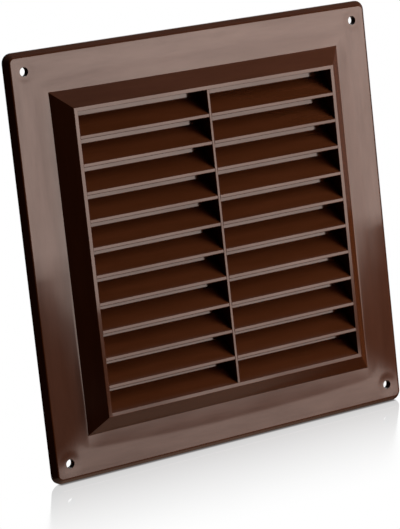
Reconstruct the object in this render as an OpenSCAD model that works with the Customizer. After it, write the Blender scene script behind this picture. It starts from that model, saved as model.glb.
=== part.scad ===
// Square louvred ventilation grille, moulded in brown plastic, 200 x 200 mm.
// X is to the right and Z is up. The front faces -Y and the wall plane is Y = 0.
// The origin is the centre of the four screw holes, on the wall plane.

/* [Wall flange] */
// Width and height of the square flange
flange_w = 200; // [190:1:240]
// Distance from the wall to the flange's front face
flange_depth = 3.7; // [3.2:0.1:6]
// Thickness of the flange's front skin
flange_skin_t = 2; // [1.5:0.1:2.5]
// Thickness of the rim that turns back to the wall
rim_t = 2; // [1.2:0.1:3]
// Corner radius of the flange
corner_r = 4.6; // [3.5:0.1:8]
// Width of the bevel round the flange's front
bevel_w = 2.1; // [0.5:0.1:3]
// Depth of that bevel, front to back
bevel_d = 2.5; // [0.5:0.1:2.8]
// Flat band between the flange's edge and the raised frame
band_w = 19.8; // [18:0.1:26]

/* [Screw holes] */
// Diameter of each screw hole
hole_d = 4.3; // [3.5:0.1:6]
// Distance from the flange's edges to a hole's centre
hole_inset = 9; // [8:0.5:10]
// Diameter of the boss behind each hole
boss_d = 10; // [8:0.5:11]

/* [Raised frame] */
// How far the raised frame stands out of the flange
frame_rise = 7.6; // [6:0.1:12]
// How far each sloping side leans in towards the opening
frame_lean = 8.1; // [5:0.1:10]
// Thickness of the sloping sides
frame_skin_t = 2; // [1.2:0.1:2.4]
// Width of the flat border round the opening
border_w = 1.9; // [1.5:0.1:4]
// Thickness of that border, front to back
border_t = 1.9; // [1.2:0.1:3]

/* [Louvre] */
// Number of vanes, one above the other, in each column
rows = 11; // [9:1:13]
// Height of a vane's front lip
lip_h = 1.65; // [1.2:0.05:2.5]
// How far a vane's crease lies below the lip of the vane above
crease_drop = 3.1; // [2:0.1:4]
// Radius of the fillet in the crease
crease_r = 0.8; // [0.5:0.1:2.5]
// Thickness of the upstand behind the crease
upstand_t = 1.35; // [1:0.05:2]
// Width of the mullion between the two columns
mullion_w = 1.6; // [1.2:0.1:4]
// Thickness of the cheeks that carry the outer ends of the vanes
cheek_t = 1.9; // [1.2:0.1:3]

/* [Insect screen] */
// Width of the screen's solid border
screen_border_w = 4; // [3:0.5:5]
// Gap between the border and the fence that locates it
screen_clearance = 0.3; // [0.1:0.1:0.6]
// Thickness of the locating fence
fence_t = 1.2; // [1:0.1:2]
// Width of one strand of the net
strand_w = 0.45; // [0.3:0.05:0.8]
// Thickness of one layer of strands
strand_t = 0.3; // [0.2:0.05:0.5]
// Clear gap between two strands
mesh_gap = 1.9; // [1.6:0.1:3]

/* [Back of the flange] */
// Thickness of each stiffening web between fence and rim
web_t = 1.2; // [0.8:0.1:2]
// Distance between the two webs on each side
web_spacing = 80; // [40:5:120]

/* [Hidden] */
$fn = 64;
cut = 1;

total_depth = flange_depth + frame_rise;
flange_half = flange_w / 2;
base_half = flange_half - band_w;
front_half = base_half - frame_lean;
opening_half = front_half - border_w;

// A sloping side's thickness, measured flat, gives the hollow behind it
lean_rate = frame_lean / frame_rise;
skin_flat = frame_skin_t * sqrt(1 + lean_rate * lean_rate);
hollow_half = base_half - skin_flat;
hollow_front_half = hollow_half - lean_rate * (frame_rise - border_t);

pitch = (2 * opening_half + lip_h) / rows;
vane_len = opening_half - mullion_w / 2;
screen_t = 2 * strand_t;
louvre_depth = total_depth - screen_t;
crease_depth = louvre_depth - upstand_t;
crease_h = pitch - crease_drop;
vane_slope = atan((crease_h - lip_h) / crease_depth);

screen_half = hollow_half + screen_border_w;
fence_half = screen_half + screen_clearance;
fence_h = flange_depth - flange_skin_t;
hole_half = flange_half - hole_inset;
strands = floor((2 * hollow_half - mesh_gap) / (strand_w + mesh_gap));
strand_pitch = 2 * hollow_half / (strands + 1);

brown = [0.29, 0.18, 0.14];
dark_brown = [0.22, 0.12, 0.09];
black_net = [0.10, 0.10, 0.10];

function two_digits(i) = i < 10 ? str("0", i) : str(i);
function vane_name(side, i) = str("vane_", side, "_", two_digits(i));
function names_of_vanes(side) = [for (i = [1:rows]) vane_name(side, i)];

// Shapes are drawn as seen from the front, with height measured from the wall
module facing_front() {
    rotate([90, 0, 0])
        children();
}

module square_of(half) {
    square(2 * half, center = true);
}

module rounded_square(half, r) {
    inner = half - r;
    square([2 * half, 2 * inner], center = true);
    square([2 * inner, 2 * half], center = true);
    for (x = [-inner, inner])
        for (y = [-inner, inner])
            translate([x, y])
                circle(r);
}

module square_ring(outer, inner) {
    difference() {
        square_of(outer);
        square_of(inner);
    }
}

// Edge points of the right half, foot first, closed by their mirror image
function both_sides(edge) = concat(
    edge,
    [for (k = [len(edge) - 1:-1:0]) [-edge[k][0], edge[k][1]]]
);

// Four-sided stump: two bars of one section that cross at right angles
module crossed_bars(edge) {
    reach = edge[0][0];
    module bar() {
        translate([0, 0, -reach])
            linear_extrude(2 * reach)
                polygon(both_sides(edge));
    }
    intersection() {
        rotate([90, 0, 0]) bar();
        rotate([90, 0, 90]) bar();
    }
}

// Section through the flange's edge: skin, bevel and rim
module edge_section() {
    difference() {
        polygon([
            [0, 0],
            [corner_r, 0],
            [corner_r, flange_depth - bevel_d],
            [corner_r - bevel_w, flange_depth],
            [0, flange_depth]
        ]);
        translate([-cut, -cut])
            square([corner_r - rim_t + cut, fence_h + cut]);
    }
}

// The edge section swept round the rounded square
module flange_edge() {
    run = flange_half - corner_r;
    for (side = [0:3])
        rotate(90 * side)
            translate([run, run, 0]) {
                rotate_extrude(angle = 90)
                    edge_section();
                rotate([90, 0, 0])
                    linear_extrude(2 * run)
                        edge_section();
            }
}

module at_screw_holes() {
    for (x = [-hole_half, hole_half])
        for (y = [-hole_half, hole_half])
            translate([x, y, 0])
                children();
}

module stiffening_webs() {
    web_len = flange_half - rim_t - fence_half;
    for (side = [0:3])
        rotate(90 * side)
            for (y = [-web_spacing / 2, web_spacing / 2])
                translate([fence_half, y - web_t / 2, 0])
                    cube([web_len, web_t, fence_h]);
}

module flange_plate() {
    color(brown)
        facing_front()
            difference() {
                union() {
                    flange_edge();
                    translate([0, 0, fence_h])
                        linear_extrude(flange_skin_t)
                            difference() {
                                rounded_square(flange_half - bevel_w, corner_r - bevel_w);
                                square_of(hollow_half);
                            }
                    linear_extrude(fence_h)
                        square_ring(fence_half + fence_t, fence_half);
                    stiffening_webs();
                    at_screw_holes()
                        cylinder(d = boss_d, h = flange_depth);
                }
                translate([0, 0, -cut])
                    at_screw_holes()
                        cylinder(d = hole_d, h = flange_depth + 2 * cut);
            }
}

// The hollow behind the frame, straight through the flange and then leaning in
module hollow() {
    crossed_bars([
        [hollow_half, screen_t],
        [hollow_half, flange_depth],
        [hollow_front_half, total_depth - border_t]
    ]);
}

module raised_frame() {
    color(brown)
        facing_front()
            difference() {
                crossed_bars([[base_half, flange_depth], [front_half, total_depth]]);
                hollow();
                linear_extrude(total_depth + cut)
                    square_of(opening_half);
            }
}

// The room that the louvre fills: the hollow and the opening in front of it
module louvre_room() {
    hollow();
    translate([0, 0, screen_t])
        linear_extrude(louvre_depth)
            square_of(opening_half);
}

module cheek(side) {
    x = side * (opening_half + cheek_t / 2);
    color(dark_brown)
        facing_front()
            intersection() {
                translate([x - cheek_t / 2, -base_half, screen_t])
                    cube([cheek_t, 2 * base_half, louvre_depth - border_t]);
                louvre_room();
            }
}

module mullion() {
    color(brown)
        facing_front()
            intersection() {
                translate([-mullion_w / 2, -base_half, screen_t])
                    cube([mullion_w, 2 * base_half, louvre_depth]);
                louvre_room();
            }
}

// Section through a vane, from its lip at the front to its upstand at the back
module vane_section() {
    steps = 5;
    turn = 90 - vane_slope;
    centre_x = crease_depth - crease_r;
    centre_y = lip_h + centre_x * tan(vane_slope) + crease_r / cos(vane_slope);
    fillet = [
        for (k = [0:steps])
            let (a = vane_slope - 90 + turn * k / steps)
                [centre_x + crease_r * cos(a), centre_y + crease_r * sin(a)]
    ];
    polygon(concat(
        [[0, 0], [0, lip_h]],
        fillet,
        [
            [crease_depth, pitch],
            [louvre_depth, pitch],
            [louvre_depth, louvre_depth * tan(vane_slope)]
        ]
    ));
}

module vane(side, i) {
    left_end = side < 0 ? -opening_half : mullion_w / 2;
    color(brown)
        facing_front()
            intersection() {
                translate([left_end, opening_half - i * pitch, total_depth])
                    rotate([0, 90, 0])
                        linear_extrude(vane_len)
                            vane_section();
                louvre_room();
            }
}

module screen_border() {
    color(black_net)
        facing_front()
            linear_extrude(fence_h)
                square_ring(screen_half, hollow_half);
}

module strands() {
    for (k = [1:strands])
        translate([-hollow_half, k * strand_pitch - hollow_half - strand_w / 2, 0])
            cube([2 * hollow_half, strand_w, strand_t]);
}

module screen_strands_across() {
    color(black_net)
        facing_front()
            strands();
}

module screen_strands_up() {
    color(black_net)
        facing_front()
            translate([0, 0, strand_t])
                rotate(90)
                    strands();
}

flange_plate();
raised_frame();
cheek(-1);  // cheek_left
cheek(1);  // cheek_right
mullion();
for (i = [1:rows]) {
    vane(-1, i);
    vane(1, i);
}
screen_border();
screen_strands_across();
screen_strands_up();
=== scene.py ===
"""Looks of a square louvred ventilation grille in brown moulded ABS.

Everything is in metres in the part's own frame: X to the right, Z up, the front faces -Y
and the wall plane is Y = 0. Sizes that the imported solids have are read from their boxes;
the rest are named here in millimetres.
"""
import math

import bpy
import numpy as np
from mathutils import Matrix, Vector


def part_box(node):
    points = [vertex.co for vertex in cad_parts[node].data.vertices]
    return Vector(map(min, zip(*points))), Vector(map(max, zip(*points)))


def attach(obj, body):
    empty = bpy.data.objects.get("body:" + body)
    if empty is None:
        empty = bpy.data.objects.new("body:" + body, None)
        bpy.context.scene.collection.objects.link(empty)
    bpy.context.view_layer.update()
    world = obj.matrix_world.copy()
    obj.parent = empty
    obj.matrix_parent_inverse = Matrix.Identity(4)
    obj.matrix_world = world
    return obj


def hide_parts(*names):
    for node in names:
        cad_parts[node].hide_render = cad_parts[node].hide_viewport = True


MM = 0.001

# Sizes of the moulding that a box doesn't show
CORNER_R = 4.6 * MM          # corner radius of the flange
BEVEL_W = 2.1 * MM           # bevel round the flange's front
BEVEL_D = 2.5 * MM
BEVEL_R = 0.9 * MM           # rounding on both sides of the bevel
RIM_T = 2.0 * MM             # rim that turns back to the wall
SKIN_T = 2.0 * MM            # front skin of the flange
FENCE_T = 1.2 * MM           # rib that locates the screen's border
FENCE_GAP = 0.3 * MM         # clearance between that rib and the border
WEB_T = 1.2 * MM             # webs between that rib and the rim
WEB_SPACING = 80.0 * MM
HOLE_R = 2.15 * MM           # screw holes
HOLE_INSET = 9.0 * MM        # from a hole's axis to the flange's edges
BOSS_R = 5.0 * MM
FRONT_BORDER_W = 1.9 * MM    # flat border round the opening
BORDER_T = 1.9 * MM
ROWS = 11
LIP_H = 1.65 * MM            # front lip of a vane
CREASE_DROP = 3.25 * MM      # crease below the lip above, 0.15 mm more than in the solids
CREASE_R = 0.8 * MM
UPSTAND_T = 1.35 * MM

# What the mould leaves on edges that look sharp
SHARP_R = 0.12 * MM
LIP_EDGE_R = 0.18 * MM
LIP_FOOT = 0.3 * MM          # how far a lip's rounded foot hangs below its sharp edge
LIP_FOOT_R = 0.27 * MM
FRAME_EDGE_R = 0.35 * MM
FRAME_FOOT = 0.2 * MM        # how far the frame's foot spreads over the flange
FRAME_FOOT_R = 0.3 * MM
FOOT_TIP_R = 0.05 * MM
MULLION_EDGE_R = 0.32 * MM

# Unevenness of the flange's front: a dimple at each screw hole, a swell towards the frame's foot
DIMPLE_R = 6.5 * MM
DIMPLE_DEPTH = 0.1 * MM
SWELL_EDGE = 88.7 * MM       # where the rise starts at mid-side, from the middle of the part
SWELL_BOW = 2.3 * MM         # how much further in it starts at the corners
SWELL_TURN = 14 * MM         # rounds the swell's corners in plan
SWELL_BLEND = 1.2 * MM       # rounds the bend where the rise starts
SWELL_SLOPE = 0.025

# Fineness of the meshes
SHARP_ANGLE = math.radians(32)
SIDE_STEPS = 130             # along each side of the flange, so that the unevenness is smooth
BAND_STEPS = 31              # across its flat band, for the same reason
HOLE_STEPS = 48              # round a screw hole
BOSS_STEPS = 40

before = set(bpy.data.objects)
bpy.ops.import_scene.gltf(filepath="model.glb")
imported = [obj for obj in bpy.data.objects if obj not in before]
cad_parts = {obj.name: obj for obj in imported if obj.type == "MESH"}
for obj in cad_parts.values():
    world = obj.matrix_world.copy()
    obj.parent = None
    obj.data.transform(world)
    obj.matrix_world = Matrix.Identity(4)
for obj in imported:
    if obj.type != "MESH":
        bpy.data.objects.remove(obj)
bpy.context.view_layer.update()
SIDES = {"left": -1, "right": 1}


def node_box(name):
    """Lowest and highest corner of a CAD node as arrays."""
    low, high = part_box(name)
    return np.array(low), np.array(high)


flange_low, flange_high = node_box("flange_plate")
frame_low, frame_high = node_box("raised_frame")
cheek_low, cheek_high = node_box("cheek_right")
mullion_low, mullion_high = node_box("mullion")
vane_high = node_box("vane_right_01")[1]

FLANGE_HALF = flange_high[0]
FLANGE_FRONT = flange_low[1]
SKIN_BACK = FLANGE_FRONT + SKIN_T
BASE_HALF = frame_high[0]
FRONT = frame_low[1]
BORDER_BACK = FRONT + BORDER_T
OPENING_HALF = cheek_low[0]
HOLLOW_HALF = cheek_high[2]
FRAME_FRONT_HALF = OPENING_HALF + FRONT_BORDER_W
LEAN_RATE = (BASE_HALF - FRAME_FRONT_HALF) / (FLANGE_FRONT - FRONT)
HOLLOW_LEAN = LEAN_RATE * (FLANGE_FRONT - BORDER_BACK)
MULLION_HALF = mullion_high[0]
LOUVRE_BACK = vane_high[1]
PITCH = (2 * OPENING_HALF + LIP_H) / ROWS
VANE_SLOPE = (PITCH - CREASE_DROP - LIP_H) / (LOUVRE_BACK - UPSTAND_T - FRONT)
HOLE_AT = FLANGE_HALF - HOLE_INSET
HOLES = [(x, z) for x in (-HOLE_AT, HOLE_AT) for z in (-HOLE_AT, HOLE_AT)]


# Meshes

def rounded_outline(points, radii, steps=4):
    """A closed 2D outline whose corners are arcs.

    At a corner with half angle h, the arc of radius r touches both sides r / tan(h) away
    from the corner, and its centre is r / sin(h) along the bisector. One more point on each
    side, a quarter radius beyond the arc, keeps the shading of the straight part flat.
    Returns an array of len(points) * (steps + 3) points.
    """
    p = np.asarray(points, float)
    r = np.asarray(radii, float)[:, None]
    to_last = np.roll(p, 1, axis=0) - p
    to_next = np.roll(p, -1, axis=0) - p
    to_last /= np.linalg.norm(to_last, axis=1)[:, None]
    to_next /= np.linalg.norm(to_next, axis=1)[:, None]
    half = 0.5 * np.arccos(np.clip((to_last * to_next).sum(1), -1, 1))[:, None]
    bisector = to_last + to_next
    bisector /= np.linalg.norm(bisector, axis=1)[:, None]
    centre = p + bisector * r / np.sin(half)
    first = p + to_last * r / np.tan(half) - centre
    last = p + to_next * r / np.tan(half) - centre
    turn = (math.pi - 2 * half)[:, :, None]
    t = np.linspace(0, 1, steps + 1)[None, :, None]
    arc = (np.sin((1 - t) * turn) * first[:, None] + np.sin(t * turn) * last[:, None]) / np.sin(turn)
    arc += centre[:, None]
    before = arc[:, :1] + (to_last * r / 4)[:, None]
    after = arc[:, -1:] + (to_next * r / 4)[:, None]
    return np.concatenate([before, arc, after], axis=1).reshape(-1, 2)


def smooth_max(a, b, width):
    """The larger of two values.

    Where they differ by less than `width`, the bend is rounded by h^3 * width / 6, where h is
    the share of `width` that the difference leaves.
    """
    h = np.maximum(width - abs(a - b), 0) / width
    return np.maximum(a, b) + h ** 3 * width / 6


def grid_faces(rings, points, wrap_rings):
    """Quads between neighbouring rings of a grid whose rings are closed."""
    last = rings if wrap_rings else rings - 1
    i, j = np.meshgrid(np.arange(last), np.arange(points), indexing="ij")
    i2 = (i + 1) % rings
    j2 = (j + 1) % points
    quads = np.stack([i * points + j, i * points + j2, i2 * points + j2, i2 * points + j], axis=-1)
    return quads.reshape(-1, 4).tolist()


def point_outward(verts, faces):
    """Turns every face round if the closed surface has a negative volume."""
    v = np.asarray(verts, float).reshape(-1, 3)
    volume = 0.0
    for count in {len(f) for f in faces}:
        f = np.array([face for face in faces if len(face) == count])
        for k in range(1, count - 1):
            a, b, c = v[f[:, 0]], v[f[:, k]], v[f[:, k + 1]]
            volume += np.einsum("ij,ij->i", a, np.cross(b, c)).sum()
    return [face[::-1] for face in faces] if volume < 0 else faces


def swept_solid(rings, closed_path):
    """Vertices and faces of rings of equal length: joined in a loop, or with two flat ends."""
    count, points = rings.shape[:2]
    faces = grid_faces(count, points, closed_path)
    if not closed_path:
        faces.append(list(range(points))[::-1])
        faces.append(list(range((count - 1) * points, count * points)))
    verts = rings.reshape(-1, 3)
    return verts, point_outward(verts, faces)


def square_rings(outline, outer_half, corner_r, straight=1, arc_steps=6):
    """Carries a closed outline round a square.

    An outline point (half, y) runs round a square of that half width. Its corner radius is
    corner_r less its distance from the outer edge, down to SHARP_R, so that the corners of
    all levels share their centres. Each side has `straight` steps: step n of N lies at the
    share (1 - cos(pi n / N)) / 2 of the side, so the steps are closer near the corners.
    """
    half = outline[:, 0]
    radius = np.maximum(corner_r - (outer_half - half), SHARP_R)
    angle = np.linspace(0, math.pi / 2, arc_steps + 1)[:, None]
    centre = half - radius
    arc = np.stack([centre + radius * np.cos(angle), centre + radius * np.sin(angle)], axis=-1)
    quarter = np.array([[0.0, -1.0], [1.0, 0.0]])
    corners = [arc]
    for _ in range(3):
        corners.append(corners[-1] @ quarter.T)
    share = ((1 - np.cos(np.pi * np.arange(1, straight) / straight)) / 2)[:, None, None]
    rings = []
    for here, there in zip(corners, corners[1:] + corners[:1]):
        rings.append(here)
        rings.append((1 - share) * here[-1] + share * there[0])
    plan = np.concatenate(rings)
    depth = np.broadcast_to(outline[:, 1], plan.shape[:2])
    return np.stack([plan[..., 0], depth, plan[..., 1]], axis=-1)


def along_x(outline, x0, x1):
    """Carries a closed (y, z) outline straight from x0 to x1."""
    x = np.array([[x0], [x1]])
    shape = (2, len(outline))
    return np.stack([np.broadcast_to(x, shape),
                     np.broadcast_to(outline[:, 0], shape),
                     np.broadcast_to(outline[:, 1], shape)], axis=-1)


def round_axis(profile, x, z, steps):
    """Turns (radius, y) points round the axis through (x, z) that runs along Y."""
    turn = np.linspace(0, 2 * math.pi, steps, endpoint=False)[:, None]
    return np.stack([x + profile[:, 0] * np.cos(turn),
                     np.broadcast_to(profile[:, 1], (steps, len(profile))),
                     z + profile[:, 0] * np.sin(turn)], axis=-1)


def join_solids(solids):
    """One vertex list and face list from several closed solids."""
    verts, faces, start = [], [], 0
    for v, f in solids:
        verts.append(v)
        faces += [[i + start for i in face] for face in f]
        start += len(v)
    return np.concatenate(verts), faces


def add_mesh(name, verts, faces):
    """A mesh object at the origin."""
    mesh = bpy.data.meshes.new(name)
    mesh.from_pydata(np.asarray(verts, float).reshape(-1, 3).tolist(), [], faces)
    made = bpy.data.objects.new(name, mesh)
    bpy.context.scene.collection.objects.link(made)
    return made


def add_piece(name, verts, faces, material, slot):
    """A piece of the grille, smooth except at sharp edges."""
    piece = add_mesh(name, verts, faces)
    mesh = piece.data
    mesh.validate()
    mesh.polygons.foreach_set("use_smooth", np.ones(len(mesh.polygons), bool))
    mesh.set_sharp_from_angle(angle=SHARP_ANGLE)
    mesh.materials.append(material)
    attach(piece, "root")
    return piece


# Nodes

def linear(hex_colour):
    """sRGB hex to linear RGBA."""
    channels = [int(hex_colour[i:i + 2], 16) / 255 for i in (1, 3, 5)]
    return [c / 12.92 if c <= 0.04045 else ((c + 0.055) / 1.055) ** 2.4 for c in channels] + [1.0]


def blank_material(name):
    """A material without nodes."""
    material = bpy.data.materials.new(name)
    material.use_nodes = True
    material.node_tree.nodes.clear()
    return material


def add_node(owner, kind, settings=None, links=None):
    """A node in a material or the world.

    `settings` holds properties, and values of inputs by name or number. `links` lists
    (input, node that it comes from, output of that node).
    """
    tree = owner.node_tree
    node = tree.nodes.new(kind)
    for key, value in (settings or {}).items():
        if isinstance(key, int) or key in node.inputs:
            node.inputs[key].default_value = value
        else:
            setattr(node, key, value)
    for socket, source, output in links or []:
        tree.links.new(source.outputs[output], node.inputs[socket])
    return node


def eased(low, high, to_low=0.0, to_high=1.0):
    """Map Range settings that ease from to_low to to_high while the value goes from low to high."""
    return {"interpolation_type": "SMOOTHSTEP", "From Min": low, "From Max": high,
            "To Min": to_low, "To Max": to_high}


def varied(level, spread):
    """Map Range settings that let a noise vary a level by the share `spread` up and down."""
    return {"From Min": NOISE_RANGE[0], "From Max": NOISE_RANGE[1],
            "To Min": level * (1 - spread), "To Max": level * (1 + spread)}


def set_stops(ramp, stops):
    """Gives a colour ramp its list of (position, colour), from the lowest up."""
    elements = ramp.color_ramp.elements
    while len(elements) < len(stops):
        elements.new(0.5)
    for element, (position, colour) in zip(elements, stops):
        element.position = position
        element.color = colour


def weighed_sum(owner, parts, start=0.0):
    """`start` plus factor times source, over a list of (factor, source node, output)."""
    total = None
    for factor, source, output in parts:
        links = [(0, source, output)]
        if total:
            links.append((2, total, 0))
        settings = {"operation": "MULTIPLY_ADD", 1: factor, 2: start}
        total = add_node(owner, "ShaderNodeMath", settings, links)
    return total


def product(owner, *sources):
    """The product of the first outputs of several nodes."""
    total = sources[0]
    for source in sources[1:]:
        total = add_node(owner, "ShaderNodeMath", {"operation": "MULTIPLY"},
                         [(0, total, 0), (1, source, 0)])
    return total


# Materials

NOISE_RANGE = (0.3, 0.7)     # nearly all values of a noise lie in it

# Patterns in the moulded ABS
WAVE_LENGTH = 26.3 * MM      # waves left by the melt's flow
WAVE_DEPTH = 0.06 * MM
STREAK_LENGTH = 49.0 * MM    # streaks along the flow
STREAK_WIDTH = 5.88 * MM
STREAK_START = (-146.2, -302.6, -79.9)    # picks the stretch of the noise that is read
GRAIN_SIZE = 0.385 * MM      # grain of the mould's polish, coarser than real so that it shows
GRAIN_DEPTH = 0.004 * MM
BROWN, DEEP_BROWN = "#442211", "#3b1c0c"
ABS_IOR = 1.54
ABS_ROUGHNESS, ROUGHNESS_SPREAD = 0.09, 0.12
GLOSS_SPREAD = 0.14

# Warp of the upright sides, as bowed_sides gives it: leans in radians, places in metres
SAG_OUTWARD, SAG_TWIST, SAG_RIGHT = 1.55, 5.0, 0.08
ONSET_W = 8 * MM
RELEASE_AT, RELEASE_W, RELEASE_SLANT = -35.0 * MM, 13 * MM, 0.0142

# Warp of the bottom border: even as far as this from its own middle, and leaning beyond that
BORDER_MIDDLE = -10 * MM
BORDER_EVEN_TO, BORDER_LEANS_FROM = 17 * MM, 34 * MM
BORDER_LEAN = 0.03

# Net of the screen
DUST_SIZE = 1.11 * MM
DUST_DEPTH = 0.05 * MM
NET_BLACK, DUST_GREY = "#191716", "#34302c"
NET_IOR = 1.49
NET_ROUGHNESS = 0.62


def streaks(m, place, both_ways):
    """Fine noise drawn out along X, or with `both_ways` along the nearest side of the square."""
    along, across = 1 / STREAK_LENGTH, 1 / STREAK_WIDTH
    scales = [(along, across, across)]
    if both_ways:
        scales.append((across, across, along))
    drawn = []
    for scale in scales:
        cells = add_node(m, "ShaderNodeMapping", {"Location": STREAK_START, "Scale": scale},
                         [("Vector", place, "Object")])
        drawn.append(add_node(m, "ShaderNodeTexNoise", {"Scale": 1.0, "Detail": 4.0, "Roughness": 0.75},
                              [("Vector", cells, "Vector")]))
    if not both_ways:
        return drawn[0]
    axes = add_node(m, "ShaderNodeSeparateXYZ", None, [("Vector", place, "Object")])
    x = add_node(m, "ShaderNodeMath", {"operation": "ABSOLUTE"}, [(0, axes, "X")])
    z = add_node(m, "ShaderNodeMath", {"operation": "ABSOLUTE"}, [(0, axes, "Z")])
    upright = add_node(m, "ShaderNodeMath", {"operation": "GREATER_THAN"}, [(0, x, 0), (1, z, 0)])
    return add_node(m, "ShaderNodeMix", None,
                    [("Factor", upright, 0), (2, drawn[0], "Fac"), (3, drawn[1], "Fac")])


def leaning_normal(m, source, output, lean):
    """A normal with `lean` added to its Z."""
    shift = add_node(m, "ShaderNodeCombineXYZ", None, [("Z", lean, 0)])
    moved = add_node(m, "ShaderNodeVectorMath", {"operation": "ADD"},
                     [(0, source, output), (1, shift, 0)])
    return add_node(m, "ShaderNodeVectorMath", {"operation": "NORMALIZE"}, [(0, moved, 0)])


def bowed_sides(m, place, edge, blend, onset, slant, sag):
    """Both upright sides lean down a little between mid-height and the lower corners.

    Further than `edge` from the middle, blended over `blend` on each side, the normal leans
    down by sag - SAG_RIGHT * X + (|X| - BASE_HALF) * (SAG_OUTWARD + SAG_TWIST * X). The lean
    sets in while Z - slant * X falls past `onset`, and ends near the corners, while
    Z + |X| / 2 - RELEASE_SLANT * X falls past RELEASE_AT.
    """
    axes = add_node(m, "ShaderNodeSeparateXYZ", None, [("Vector", place, "Object")])
    side = add_node(m, "ShaderNodeMath", {"operation": "ABSOLUTE"}, [(0, axes, "X")])
    upper = weighed_sum(m, [(1.0, axes, "Z"), (-slant, axes, "X")])
    lower = weighed_sum(m, [(1.0, axes, "Z"), (0.5, side, 0), (-RELEASE_SLANT, axes, "X")])
    outward = add_node(m, "ShaderNodeMath", {"operation": "SUBTRACT", 1: BASE_HALF}, [(0, side, 0)])
    twist = product(m, outward, axes)
    parts = [(-SAG_OUTWARD, outward, 0), (-SAG_TWIST, twist, 0), (SAG_RIGHT, axes, "X")]
    amount = weighed_sum(m, parts, -sag)
    beyond = add_node(m, "ShaderNodeMapRange", eased(edge - blend, edge + blend), [("Value", side, 0)])
    below = add_node(m, "ShaderNodeMapRange", eased(onset + ONSET_W, onset - ONSET_W),
                     [("Value", upper, 0)])
    above = add_node(m, "ShaderNodeMapRange", eased(RELEASE_AT - RELEASE_W, RELEASE_AT + RELEASE_W),
                     [("Value", lower, 0)])
    surface = add_node(m, "ShaderNodeNewGeometry")
    return leaning_normal(m, surface, "Normal", product(m, amount, beyond, below, above))


def flange_shape(m, place):
    """The flange's side bands bow."""
    return bowed_sides(m, place, edge=BASE_HALF, blend=1 * MM,
                       onset=-1.75 * MM, slant=-0.041, sag=0.084)


def frame_shape(m, place):
    """The frame's sides bow, and both ends of the bottom border lean down."""
    blend = 0.1 * MM
    sides = bowed_sides(m, place, edge=OPENING_HALF, blend=blend,
                        onset=-11.5 * MM, slant=0.08, sag=0.1035)
    axes = add_node(m, "ShaderNodeSeparateXYZ", None, [("Vector", place, "Object")])
    off_middle = add_node(m, "ShaderNodeMath", {"operation": "SUBTRACT", 1: BORDER_MIDDLE},
                          [(0, axes, "X")])
    away = add_node(m, "ShaderNodeMath", {"operation": "ABSOLUTE"}, [(0, off_middle, 0)])
    side = add_node(m, "ShaderNodeMath", {"operation": "ABSOLUTE"}, [(0, axes, "X")])
    amount = add_node(m, "ShaderNodeMapRange",
                      eased(BORDER_EVEN_TO, BORDER_LEANS_FROM, 0.0, -BORDER_LEAN), [("Value", away, 0)])
    below = add_node(m, "ShaderNodeMapRange", eased(-OPENING_HALF + 1 * MM, -OPENING_HALF),
                     [("Value", axes, "Z")])
    between = add_node(m, "ShaderNodeMapRange", eased(OPENING_HALF + blend, OPENING_HALF - blend),
                       [("Value", side, 0)])
    return leaning_normal(m, sides, 0, product(m, amount, below, between))


def moulded_abs(name, shine, both_ways, shape=None):
    """Glossy ABS, injection-moulded in a polished mould.

    Streaks vary the colour, the roughness, and the strength of the gloss about `shine`. Waves
    and a fine grain are bumps. They are laid over the normal that `shape` may give, a function
    that adds nodes and returns the last of them.
    """
    m = blank_material(name)
    place = add_node(m, "ShaderNodeTexCoord")
    tint = streaks(m, place, both_ways)
    colour = add_node(m, "ShaderNodeValToRGB", None, [("Fac", tint, 0)])
    set_stops(colour, [(NOISE_RANGE[0], linear(DEEP_BROWN)), (NOISE_RANGE[1], linear(BROWN))])
    rough = add_node(m, "ShaderNodeMapRange", varied(ABS_ROUGHNESS, ROUGHNESS_SPREAD),
                     [("Value", tint, 0)])
    gloss = add_node(m, "ShaderNodeMapRange", varied(shine, GLOSS_SPREAD), [("Value", tint, 0)])
    waves = add_node(m, "ShaderNodeTexNoise", {"Scale": 1 / WAVE_LENGTH, "Detail": 1.0},
                     [("Vector", place, "Object")])
    wave_links = [("Height", waves, "Fac")]
    if shape:
        wave_links.append(("Normal", shape(m, place), 0))
    wave_bump = add_node(m, "ShaderNodeBump", {"Strength": 1.0, "Distance": WAVE_DEPTH}, wave_links)
    grain = add_node(m, "ShaderNodeTexNoise", {"Scale": 1 / GRAIN_SIZE, "Detail": 2.0},
                     [("Vector", place, "Object")])
    grain_bump = add_node(m, "ShaderNodeBump", {"Strength": 0.25, "Distance": GRAIN_DEPTH},
                          [("Height", grain, "Fac"), ("Normal", wave_bump, "Normal")])
    # The gloss also has its even level as a value, for where its link isn't carried over
    shader = add_node(m, "ShaderNodeBsdfPrincipled", {"IOR": ABS_IOR, "Specular IOR Level": shine},
                      [("Base Color", colour, "Color"), ("Roughness", rough, "Result"),
                       ("Specular IOR Level", gloss, "Result"), ("Normal", grain_bump, "Normal")])
    add_node(m, "ShaderNodeOutputMaterial", None, [("Surface", shader, "BSDF")])
    return m


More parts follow.
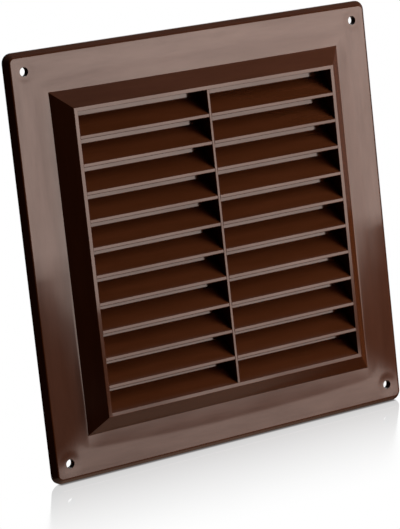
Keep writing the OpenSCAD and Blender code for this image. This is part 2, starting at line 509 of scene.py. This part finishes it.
def extruded_net(name):
    """Extruded polypropylene, black and matt, with grey dust in its grain."""
    m = blank_material(name)
    place = add_node(m, "ShaderNodeTexCoord")
    dust = add_node(m, "ShaderNodeTexNoise", {"Scale": 1 / DUST_SIZE, "Detail": 3.0},
                    [("Vector", place, "Object")])
    colour = add_node(m, "ShaderNodeValToRGB", None, [("Fac", dust, "Fac")])
    set_stops(colour, [(0.0, linear(NET_BLACK)), (1.0, linear(DUST_GREY))])
    bump = add_node(m, "ShaderNodeBump", {"Strength": 0.3, "Distance": DUST_DEPTH},
                    [("Height", dust, "Fac")])
    shader = add_node(m, "ShaderNodeBsdfPrincipled", {"IOR": NET_IOR, "Roughness": NET_ROUGHNESS},
                      [("Base Color", colour, "Color"), ("Normal", bump, "Normal")])
    add_node(m, "ShaderNodeOutputMaterial", None, [("Surface", shader, "BSDF")])
    return m


# Moulded ABS of the flange: dark brown under a clear gloss that mirrors the room a little wavily
ABS_FLANGE = moulded_abs("moulded_abs_flange", shine=0.5, both_ways=True, shape=flange_shape)
# Moulded ABS of the frame: the same gloss on sides that bow and a border whose ends sag
ABS_FRAME = moulded_abs("moulded_abs_frame", shine=0.485, both_ways=True, shape=frame_shape)
# Moulded ABS of vanes, mullion and cheeks: a little less gloss, with streaks along the vanes
ABS_LOUVRE = moulded_abs("moulded_abs_louvre", shine=0.47, both_ways=False)
# Extruded polypropylene of the screen: a dull near black, so that the gaps stay dark
NET = extruded_net("extruded_polypropylene_net")


# Pieces

def flange_outline():
    """Half widths and depths of the flange's skin and rim, from the hollow round the rim and back."""
    points = [[HOLLOW_HALF, FLANGE_FRONT], [FLANGE_HALF - BEVEL_W, FLANGE_FRONT],
              [FLANGE_HALF, FLANGE_FRONT + BEVEL_D], [FLANGE_HALF, 0], [FLANGE_HALF - RIM_T, 0],
              [FLANGE_HALF - RIM_T, SKIN_BACK], [HOLLOW_HALF, SKIN_BACK]]
    radii = [SHARP_R, BEVEL_R, BEVEL_R, SHARP_R, SHARP_R, SHARP_R, SHARP_R]
    outline = rounded_outline(points, radii)
    per_corner = len(outline) // len(points)
    start, end = outline[per_corner - 1, 0], outline[per_corner, 0]
    band = np.linspace(start, end, BAND_STEPS + 1)[1:-1]
    band = np.stack([band, np.full_like(band, FLANGE_FRONT)], axis=-1)
    return np.concatenate([outline[:per_corner], band, outline[per_corner:]])


def unevenness(verts):
    """How far each point of the front lies back of the flat face.

    Dimples: from a screw hole's edge to DIMPLE_R from its axis, the depth falls from
    DIMPLE_DEPTH to nothing as 1 - 3t^2 + 2t^3 of the share t of the way out.
    Swell: the face rises by SWELL_SLOPE towards the frame's foot. The rise starts SWELL_EDGE from
    the middle of the part, less SWELL_BOW times the square of the way along the side.
    """
    x, z = abs(verts[:, 0]), abs(verts[:, 2])
    t = np.clip((np.hypot(x - HOLE_AT, z - HOLE_AT) - HOLE_R) / (DIMPLE_R - HOLE_R), 0, 1)
    dimple = DIMPLE_DEPTH * (1 - 3 * t ** 2 + 2 * t ** 3)
    along = np.minimum(x, z) / BASE_HALF
    inward = SWELL_EDGE - SWELL_BOW * along ** 2 - smooth_max(x, z, SWELL_TURN)
    swell = SWELL_SLOPE * smooth_max(inward, 0, SWELL_BLEND)
    return np.where(verts[:, 1] < FLANGE_FRONT + SKIN_T / 2, dimple - swell, 0)


def cut_hole(piece, x, z):
    """Takes a round bar along Y out of a piece, and keeps the result as the piece's own mesh."""
    beyond = 1 * MM
    ends = np.array([[HOLE_R, FLANGE_FRONT - beyond], [HOLE_R, beyond]])
    rings = round_axis(ends, x, z, HOLE_STEPS).swapaxes(0, 1)
    bar = add_mesh("hole_cutter", *swept_solid(rings, False))
    cut = piece.modifiers.new("screw_hole", "BOOLEAN")
    cut.operation = "DIFFERENCE"
    cut.solver = "EXACT"
    cut.object = bar
    bpy.context.view_layer.update()
    graph = bpy.context.evaluated_depsgraph_get()
    shaped = bpy.data.meshes.new_from_object(piece.evaluated_get(graph), depsgraph=graph)
    piece.modifiers.clear()
    piece.data = shaped
    bpy.data.objects.remove(bar)


def make_flange():
    """The skin and rim carried round the square, with an uneven front and four screw holes."""
    rings = square_rings(flange_outline(), FLANGE_HALF, CORNER_R, SIDE_STEPS, arc_steps=8)
    verts, faces = swept_solid(rings, True)
    verts[:, 1] += unevenness(verts)
    piece = add_piece("flange_skin", verts, faces, ABS_FLANGE, "flange_plastic")
    for x, z in HOLES:
        cut_hole(piece, x, z)
    piece.data.set_sharp_from_angle(angle=SHARP_ANGLE)
    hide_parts("flange_plate")


def make_bosses():
    """A plain tube behind each screw hole: a rectangular section turned round the hole's axis."""
    front = FLANGE_FRONT + SKIN_T / 2
    corners = [[HOLE_R, front], [BOSS_R, front], [BOSS_R, 0], [HOLE_R, 0]]
    section = rounded_outline(corners, [SHARP_R] * 4, 2)
    tubes = [swept_solid(round_axis(section, x, z, BOSS_STEPS), True) for x, z in HOLES]
    add_piece("screw_bosses", *join_solids(tubes), ABS_FLANGE, "flange_plastic")


def make_fence():
    """The rib that locates the screen, carried round a square, and the webs from it to the rim."""
    low = node_box("screen_border")[1][0] + FENCE_GAP
    high = low + FENCE_T
    radii = [SHARP_R] * 4
    rib = rounded_outline([[low, SKIN_BACK], [high, SKIN_BACK], [high, 0], [low, 0]], radii, 2)
    solids = [swept_solid(square_rings(rib, high, SHARP_R), True)]
    half = WEB_T / 2
    web = rounded_outline([[SKIN_BACK, -half], [0, -half], [0, half], [SKIN_BACK, half]], radii, 2)
    for at in (-WEB_SPACING / 2, WEB_SPACING / 2):
        rings = along_x(web, high, FLANGE_HALF - RIM_T) + np.array([0, 0, at])
        for quarter in range(4):
            a = quarter * math.pi / 2
            spin = np.array([[math.cos(a), 0, math.sin(a)], [0, 1, 0], [-math.sin(a), 0, math.cos(a)]])
            solids.append(swept_solid(rings @ spin, False))
    add_piece("screen_fence_and_webs", *join_solids(solids), ABS_FLANGE, "flange_plastic")


def make_raised_frame():
    """The frame's section carried round the square: sloping side, flat border, hollow behind."""
    points = [[BASE_HALF + FRAME_FOOT, FLANGE_FRONT],
              [BASE_HALF - LEAN_RATE * FRAME_FOOT, FLANGE_FRONT - FRAME_FOOT],
              [FRAME_FRONT_HALF, FRONT], [OPENING_HALF, FRONT], [OPENING_HALF, BORDER_BACK],
              [HOLLOW_HALF - HOLLOW_LEAN, BORDER_BACK], [HOLLOW_HALF, FLANGE_FRONT]]
    radii = [FOOT_TIP_R, FRAME_FOOT_R, FRAME_EDGE_R, LIP_EDGE_R, SHARP_R, SHARP_R, SHARP_R]
    rings = square_rings(rounded_outline(points, radii), BASE_HALF + FRAME_FOOT, SHARP_R, arc_steps=3)
    piece = add_piece("frame_moulding", *swept_solid(rings, True), ABS_FRAME, "frame_plastic")
    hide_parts("raised_frame")


def vane_outline():
    """(y, z) outline of a vane above its lip's lower edge: lip, slope, filleted crease, upstand."""
    crease_y = LOUVRE_BACK - UPSTAND_T
    points = [[FRONT, -LIP_FOOT], [FRONT, LIP_H], [crease_y, PITCH - CREASE_DROP], [crease_y, PITCH],
              [LOUVRE_BACK, PITCH], [LOUVRE_BACK, (LOUVRE_BACK - FRONT) * VANE_SLOPE]]
    radii = [LIP_FOOT_R, LIP_EDGE_R, CREASE_R, LIP_EDGE_R, LIP_EDGE_R, CREASE_R / 2]
    return rounded_outline(points, radii, 5)


def make_vanes():
    """The vane's outline carried straight from the mullion to each cheek, eleven times."""
    outline = vane_outline()
    for side, sign in SIDES.items():
        x0, x1 = sorted([sign * MULLION_HALF, sign * OPENING_HALF])
        for row in range(1, ROWS + 1):
            rings = along_x(outline, x0, x1) + np.array([0, 0, OPENING_HALF - row * PITCH])
            if row == ROWS:
                # The border stands in for the lowest lip, so this vane starts at the opening's edge
                z = rings[..., 2]
                rings[..., 2] = np.where(rings[..., 1] < BORDER_BACK, np.maximum(z, -OPENING_HALF), z)
            name = f"{side}_{row:02d}"
            solid = swept_solid(rings, False)
            piece = add_piece(f"vane_moulding_{name}", *solid, ABS_LOUVRE, "vane_plastic")
            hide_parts(f"vane_{name}")


def make_mullion():
    """The bar between the columns, carried straight up, and the web behind it, carried across."""
    bar = rounded_outline([[-MULLION_HALF, FRONT], [MULLION_HALF, FRONT],
                           [MULLION_HALF, BORDER_BACK], [-MULLION_HALF, BORDER_BACK]],
                          [MULLION_EDGE_R, MULLION_EDGE_R, SHARP_R, SHARP_R])
    bar_rings = np.array([[[x, y, z] for x, y in bar] for z in (-OPENING_HALF, OPENING_HALF)])
    back, bottom, top = mullion_high[1], mullion_low[2], mullion_high[2]
    corners = [[BORDER_BACK, bottom + HOLLOW_LEAN], [FLANGE_FRONT, bottom], [back, bottom],
               [back, top], [FLANGE_FRONT, top], [BORDER_BACK, top - HOLLOW_LEAN]]
    web = rounded_outline(corners, [SHARP_R] * len(corners))
    web_rings = along_x(web, -MULLION_HALF, MULLION_HALF)
    solids = [swept_solid(bar_rings, False), swept_solid(web_rings, False)]
    piece = add_piece("mullion_moulding", *join_solids(solids), ABS_LOUVRE, "louvre_plastic")
    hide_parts("mullion")


make_flange()
make_bosses()
make_fence()
make_raised_frame()
make_vanes()
make_mullion()

# Nodes whose solids show as they are
SHOWN_SOLIDS = {"cheek_left": ABS_LOUVRE, "cheek_right": ABS_LOUVRE, "screen_border": NET,
                "screen_strands_across": NET, "screen_strands_up": NET}
for name, material in SHOWN_SOLIDS.items():
    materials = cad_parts[name].data.materials
    materials.clear()
    materials.append(material)


# Camera

CAMERA_AT = Vector((-0.6211, -1.0077, 0.1838))
LOOK_AT = Vector((-0.00994, -0.0037, -0.01182))
ROLL = math.radians(-6.184)
FOCAL_PX = 2521.9
PHOTO_H = 529
SENSOR_MM = 36.0


def add_camera():
    """The photo's view. The sensor's width spans the picture's longer side, which is its height."""
    data = bpy.data.cameras.new("photo_view")
    data.sensor_width = SENSOR_MM
    data.lens = FOCAL_PX * SENSOR_MM / PHOTO_H
    data.clip_start = 0.05
    data.clip_end = 50.0
    camera = bpy.data.objects.new("photo_view", data)
    look = (LOOK_AT - CAMERA_AT).to_track_quat("-Z", "Y").to_matrix().to_4x4()
    camera.matrix_world = Matrix.Translation(CAMERA_AT) @ look @ Matrix.Rotation(ROLL, 4, "Z")
    bpy.context.scene.collection.objects.link(camera)
    bpy.context.scene.camera = camera


# Light

CARD_LEFT, CARD_RIGHT, CARD_Y = 0.22, 0.76, -0.76
CARD_COLOUR = "#ffe8dd"
# Height and radiance of the card, from its bottom edge to its top one
CARD_LEVELS = [(-0.70, 0.18), (-0.38, 0.24), (-0.345, 0.6), (-0.325, 1.2), (-0.313, 2.65), (-0.29, 2.8),
               (-0.262, 3.1), (-0.22, 3.6), (-0.144, 4.0), (-0.055, 4.1), (0.023, 4.75), (0.07, 4.75)]
CARD_RISE_TO, CARD_RISE = 0.625, (0.89, 1.045)       # the card brightens from its left end to here
CARD_DROP, CARD_END_LEVEL = (0.6466, 0.679), 0.86    # and is darker beyond here
FOLD_SIZE, FOLD_SPREAD = 91 * MM, 0.07


def add_warm_card():
    """The warm card on the right whose mirror image makes the front faces look taupe.

    Its radiance runs straight from level to level with the height. Across the card it is
    multiplied by a slow rise to the right, a drop near the right end and the shade of soft folds.
    """
    low, high = CARD_LEVELS[0][0], CARD_LEVELS[-1][0]
    peak = max(level for _, level in CARD_LEVELS)
    corners = [(CARD_LEFT, CARD_Y, low), (CARD_RIGHT, CARD_Y, low),
               (CARD_RIGHT, CARD_Y, high), (CARD_LEFT, CARD_Y, high)]
    card = add_mesh("warm_card", corners, [(0, 1, 2, 3)])
    # Warm white card, lit: a broad, soft, slightly uneven sheen in the gloss of the part
    m = blank_material("warm_card")
    place = add_node(m, "ShaderNodeTexCoord")
    axes = add_node(m, "ShaderNodeSeparateXYZ", None, [("Vector", place, "Object")])
    height = add_node(m, "ShaderNodeMapRange", {"From Min": low, "From Max": high},
                      [("Value", axes, "Z")])
    levels = add_node(m, "ShaderNodeValToRGB", None, [("Fac", height, "Result")])
    stops = [((z - low) / (high - low), [level / peak] * 3 + [1.0]) for z, level in CARD_LEVELS]
    set_stops(levels, stops)
    rise = add_node(m, "ShaderNodeMapRange",
                    {"From Min": CARD_LEFT, "From Max": CARD_RISE_TO,
                     "To Min": CARD_RISE[0] * peak, "To Max": CARD_RISE[1] * peak},
                    [("Value", axes, "X")])
    drop = add_node(m, "ShaderNodeMapRange", eased(*CARD_DROP, 1.0, CARD_END_LEVEL),
                    [("Value", axes, "X")])
    folds = add_node(m, "ShaderNodeTexNoise", {"Scale": 1 / FOLD_SIZE, "Detail": 1.0},
                     [("Vector", place, "Object")])
    shade = add_node(m, "ShaderNodeMapRange", varied(1.0, FOLD_SPREAD), [("Value", folds, "Fac")])
    strength = product(m, levels, rise, drop, shade)
    glow = add_node(m, "ShaderNodeEmission", {"Color": linear(CARD_COLOUR)}, [("Strength", strength, 0)])
    add_node(m, "ShaderNodeOutputMaterial", None, [("Surface", glow, "Emission")])
    card.data.materials.append(m)


def add_area_light(name, at, width, height, watts, colour):
    """A rectangular light aimed at the part's middle, whose own image doesn't show in gloss."""
    data = bpy.data.lights.new(name, "AREA")
    data.shape = "RECTANGLE"
    data.size = width
    data.size_y = height
    data.energy = watts
    data.color = linear(colour)[:3]
    lamp = bpy.data.objects.new(name, data)
    lamp.location = at
    lamp.rotation_euler = (-Vector(at)).to_track_quat("-Z", "Y").to_euler()
    lamp.visible_glossy = False
    bpy.context.scene.collection.objects.link(lamp)


# Stage

TABLE_REACH = 1.5                # from the middle to the table's edges
TABLE_TILT = math.radians(9.5)   # how much the table falls away towards the camera
TABLE_FADE = 0.084               # how far in front of the part its mirror image fades out
FADE_POWER = 1.5
MIRROR_SHARE = 0.375             # strength of the mirror image at the part's foot
MIRROR_SHARP_TO = 0.01           # the image is sharpest up to here, and then blurs
MIRROR_ROUGHNESS = (0.35, 0.03)  # where it fades out, and at the part's foot
PAINTED_SHADOW_LEVEL = 0.2              # painted contact shadow: brightness of the table where the part touches it
PAINTED_SHADOW_FROM = 0.6 * MM          # how far behind the flange's front the painted contact shadow starts


def add_table():
    """The table under the bottom edge: white to the camera, with a painted contact shadow under the part
    and a faint mirror image that fades.
    """
    low = -FLANGE_HALF
    near = low - math.tan(TABLE_TILT) * TABLE_REACH
    left, right = -TABLE_REACH, TABLE_REACH
    corners = [(left, -TABLE_REACH, near), (right, -TABLE_REACH, near), (right, 0, low), (left, 0, low),
               (right, TABLE_REACH, low), (left, TABLE_REACH, low)]
    table = add_mesh("table", corners, [(0, 1, 2, 3), (3, 2, 4, 5)])
    # White acrylic sheet, polished: pure white, with a painted contact shadow under the part's foot and
    # the part mirrored faintly near its foot
    m = blank_material("white_acrylic_table")
    place = add_node(m, "ShaderNodeTexCoord")
    axes = add_node(m, "ShaderNodeSeparateXYZ", None, [("Vector", place, "Object")])
    front = add_node(m, "ShaderNodeMath", {"operation": "LESS_THAN", 1: 0.0}, [(0, axes, "Y")])
    fade = add_node(m, "ShaderNodeMapRange", {"From Min": -TABLE_FADE, "From Max": 0.0},
                    [("Value", axes, "Y")])
    curve = add_node(m, "ShaderNodeMath", {"operation": "POWER", 1: FADE_POWER}, [(0, fade, "Result")])
    nearness = product(m, curve, front)
    share = add_node(m, "ShaderNodeMath", {"operation": "MULTIPLY", 1: MIRROR_SHARE}, [(0, nearness, 0)])
    # Painted contact shadow: the white darkens under the part's foot, behind the flange's front
    painted_contact_shadow = add_node(m, "ShaderNodeMapRange",
                       eased(FLANGE_FRONT + PAINTED_SHADOW_FROM, FLANGE_FRONT + BEVEL_D, 1.0, PAINTED_SHADOW_LEVEL),
                       [("Value", axes, "Y")])
    aside = add_node(m, "ShaderNodeMath", {"operation": "ABSOLUTE"}, [(0, axes, "X")])
    across = add_node(m, "ShaderNodeMapRange", eased(FLANGE_HALF - CORNER_R / 2, FLANGE_HALF - CORNER_R),
                      [("Value", aside, 0)])
    painted_shadow_area = product(m, across, front)
    # The white's strength: darkened by the painted contact shadow under the part, full elsewhere
    lit = add_node(m, "ShaderNodeMix", {2: 1.0}, [("Factor", painted_shadow_area, 0), (3, painted_contact_shadow, 0)])
    white = add_node(m, "ShaderNodeEmission", {"Color": (1, 1, 1, 1)}, [("Strength", lit, 0)])
    blur = add_node(m, "ShaderNodeMapRange",
                    {"From Min": -TABLE_FADE, "From Max": -MIRROR_SHARP_TO,
                     "To Min": MIRROR_ROUGHNESS[0], "To Max": MIRROR_ROUGHNESS[1]},
                    [("Value", axes, "Y")])
    mirror = add_node(m, "ShaderNodeBsdfGlossy", {"Color": (1, 1, 1, 1)}, [("Roughness", blur, "Result")])
    seen = add_node(m, "ShaderNodeMixShader", None, [(0, share, "Value"), (1, white, 0), (2, mirror, 0)])
    clear = add_node(m, "ShaderNodeBsdfTransparent")
    rays = add_node(m, "ShaderNodeLightPath")
    both = add_node(m, "ShaderNodeMixShader", None,
                    [(0, rays, "Is Camera Ray"), (1, clear, 0), (2, seen, 0)])
    add_node(m, "ShaderNodeOutputMaterial", None, [("Surface", both, "Shader")])
    table.data.materials.append(m)


# The room in soft edges. A direction has parts X, Y and Z from -1 to 1: each edge names one of
# them, gives its values where the edge starts and ends, and then the levels there
ROOM = {"ceiling": ("Z", 0.2, 0.9, 0.008, 0.13),
        "darker_left": ("X", -0.3, 0.3, 0.3, 1.0),
        "glow_below": ("Z", -0.45, -0.78, 0.0, 1.0),
        "glow_right_end": ("X", 0.62, 0.507, 0.0, 0.31),
        "wall_left_end": ("X", 0.66, 0.9, 0.0, 1.0),
        "wall_back_end": ("Y", 0.1, -0.1, 0.12, 0.5),
        "wall_foot": ("Z", -0.172, -0.145, 0.0, 1.0),
        "wall_top": ("Z", 0.4, 0.2, 0.0, 1.0)}
GLOW_COLOUR = "#ffd8bf"
BACKDROP_BEYOND = {"X": 0.3, "Y": 0.5, "Z": 0.28}    # gloss sees the white backdrop past all three


def add_world():
    """White for the camera, and for gloss high behind the part on the right; a dark room otherwise.

    The room has a dim ceiling, a warm glow from below except on the right, and a wall on the
    right that only gloss shows.
    """
    world = bpy.data.worlds.new("studio")
    bpy.context.scene.world = world
    world.use_nodes = True
    world.node_tree.nodes.clear()
    place = add_node(world, "ShaderNodeTexCoord")
    axes = add_node(world, "ShaderNodeSeparateXYZ", None, [("Vector", place, "Generated")])
    rays = add_node(world, "ShaderNodeLightPath")

    beyond = [add_node(world, "ShaderNodeMath", {"operation": "GREATER_THAN", 1: level},
                       [(0, axes, part)]) for part, level in BACKDROP_BEYOND.items()]
    backdrop = product(world, *beyond)
    mirrored = add_node(world, "ShaderNodeMath", {"operation": "MULTIPLY"},
                        [(0, backdrop, 0), (1, rays, "Is Glossy Ray")])
    bright = add_node(world, "ShaderNodeMath", {"operation": "MAXIMUM"},
                      [(0, mirrored, 0), (1, rays, "Is Camera Ray")])

    room = {name: add_node(world, "ShaderNodeMapRange", eased(*edge), [("Value", axes, part)])
            for name, (part, *edge) in ROOM.items()}
    wall = product(world, room["wall_left_end"], room["wall_back_end"],
                   room["wall_foot"], room["wall_top"])
    mirrored_wall = add_node(world, "ShaderNodeMath", {"operation": "MULTIPLY"},
                             [(0, wall, 0), (1, rays, "Is Glossy Ray")])
    plain = weighed_sum(world, [(1.0, room["ceiling"], 0), (1.0, mirrored_wall, 0)])
    plain = product(world, plain, room["darker_left"])
    warm = product(world, room["glow_below"], room["glow_right_end"])

    dark = add_node(world, "ShaderNodeBackground", {"Color": (1, 1, 1, 1)}, [("Strength", plain, 0)])
    glow = add_node(world, "ShaderNodeBackground", {"Color": linear(GLOW_COLOUR)},
                    [("Strength", warm, 0)])
    lit = add_node(world, "ShaderNodeAddShader", None, [(0, dark, 0), (1, glow, 0)])
    white = add_node(world, "ShaderNodeBackground", {"Color": (1, 1, 1, 1)})
    mix = add_node(world, "ShaderNodeMixShader", None,
                   [("Fac", bright, "Value"), (1, lit, 0), (2, white, 0)])
    add_node(world, "ShaderNodeOutputWorld", None, [("Surface", mix, "Shader")])


add_camera()
add_warm_card()
# The key light, from far enough round that the left faces stay dark
add_area_light("key_light", at=(0.8, -0.69, 0.25), width=0.5, height=1.6, watts=22.5, colour="#ffffff")
# A low light behind, which shows the back of the part
add_area_light("back_light", at=(0.5, 0.9, -0.12), width=0.6, height=0.4, watts=14.0, colour="#fff4ea")
add_table()
add_world()
bpy.context.scene.view_settings.view_transform = "Standard"
